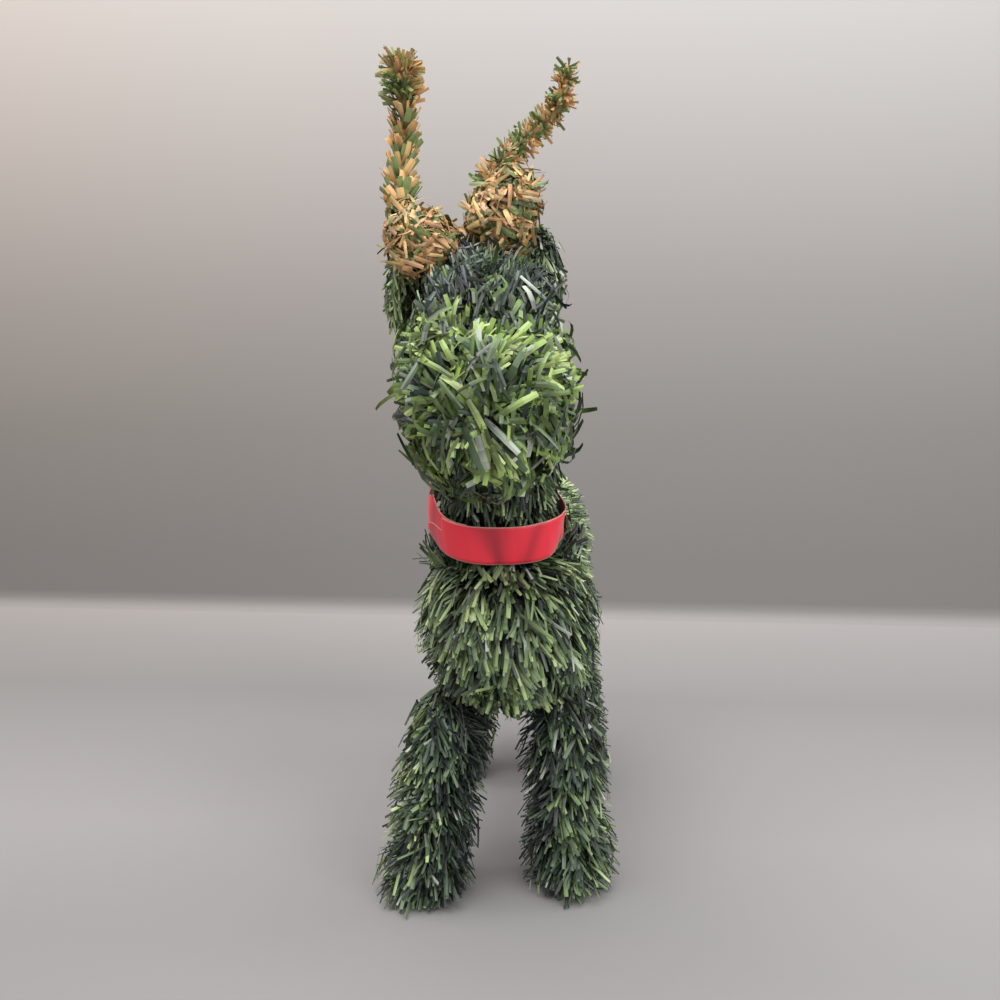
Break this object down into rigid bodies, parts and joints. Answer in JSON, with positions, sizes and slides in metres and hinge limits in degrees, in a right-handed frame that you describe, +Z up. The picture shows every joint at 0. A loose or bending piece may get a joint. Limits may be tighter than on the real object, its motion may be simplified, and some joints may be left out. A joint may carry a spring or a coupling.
{
  "type": "artificial topiary reindeer",
  "caption": "Table-top reindeer figure of green artificial pine garland, with tan and green antlers and a red ribbon collar, standing on straight legs.",
  "frame": {"origin": "on the floor, under the centre of the bounding box", "axes": "+Z up, -Y the way the nose points, +X the reindeer's own left"},
  "size_m": [0.1272, 0.3094, 0.4104],
  "materials": {
    "green_needles": "slit PVC film in two greens, faintly glossy",
    "antler_needles": "slit PVC film in tan and green, faintly glossy",
    "ribbon": "woven satin"
  },
  "bodies": {
    "root": {"torso": "green_needles", "neck": "green_needles", "head": "green_needles", "left_ear": "green_needles", "right_ear": "green_needles", "front_left_leg": "green_needles", "front_right_leg": "green_needles", "rear_left_leg": "green_needles", "rear_right_leg": "green_needles", "tail": "green_needles", "left_brow_tine": "antler_needles", "right_brow_tine": "antler_needles", "left_antler_beam": "antler_needles", "right_antler_beam": "antler_needles", "ribbon_collar": "ribbon"}
  },
  "joints": []
}
